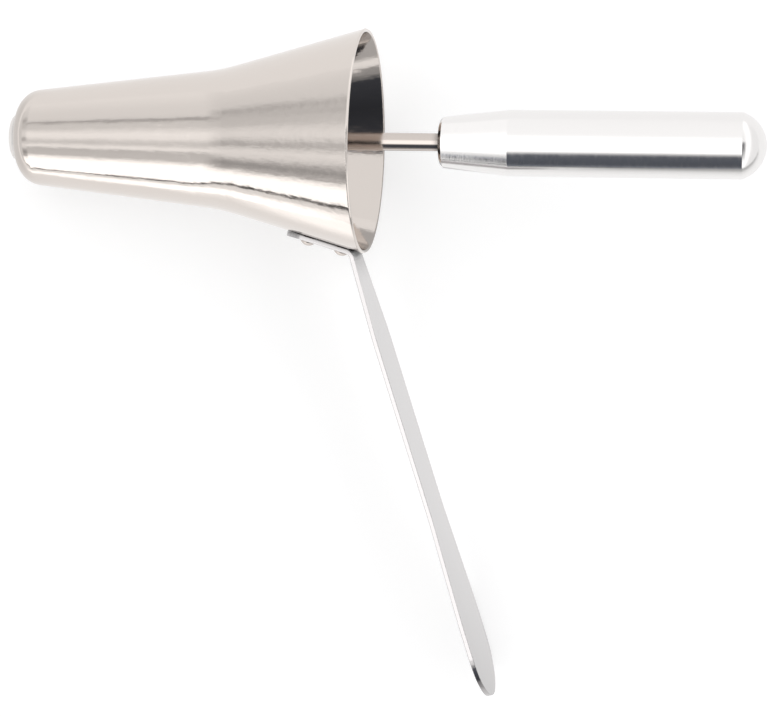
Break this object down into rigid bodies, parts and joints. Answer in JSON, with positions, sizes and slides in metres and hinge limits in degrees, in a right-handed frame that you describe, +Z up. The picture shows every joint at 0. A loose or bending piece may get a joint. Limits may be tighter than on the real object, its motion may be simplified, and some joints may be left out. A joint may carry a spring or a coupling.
{
  "type": "anal speculum",
  "caption": "Tubular anal speculum: a flared steel cone with a riveted strap handle, and a sliding obturator with a steel rod and an aluminium grip.",
  "frame": {"origin": "on the surface it lies on, under the middle of its box at rest", "axes": "+X from the nose to the grip along the surface, +Z up, the strap handle reaching towards -Y"},
  "size_m": [0.1676, 0.1496, 0.0492],
  "materials": {
    "polished_steel": "polished stainless steel",
    "turned_aluminium": "satin, with fine turning lines"
  },
  "bodies": {
    "speculum": {"speculum_tube": "polished_steel", "strap_handle": "polished_steel", "front_rivet": "polished_steel", "rear_rivet": "polished_steel"},
    "obturator": {"obturator_head": "polished_steel", "obturator_rod": "polished_steel", "obturator_grip": "turned_aluminium"}
  },
  "joints": [
    {"name": "obturator_slide", "type": "slide", "parent": "speculum", "child": "obturator", "axis": [0.9825, 0, 0.1861], "range_m": [0, 0.09]}
  ]
}
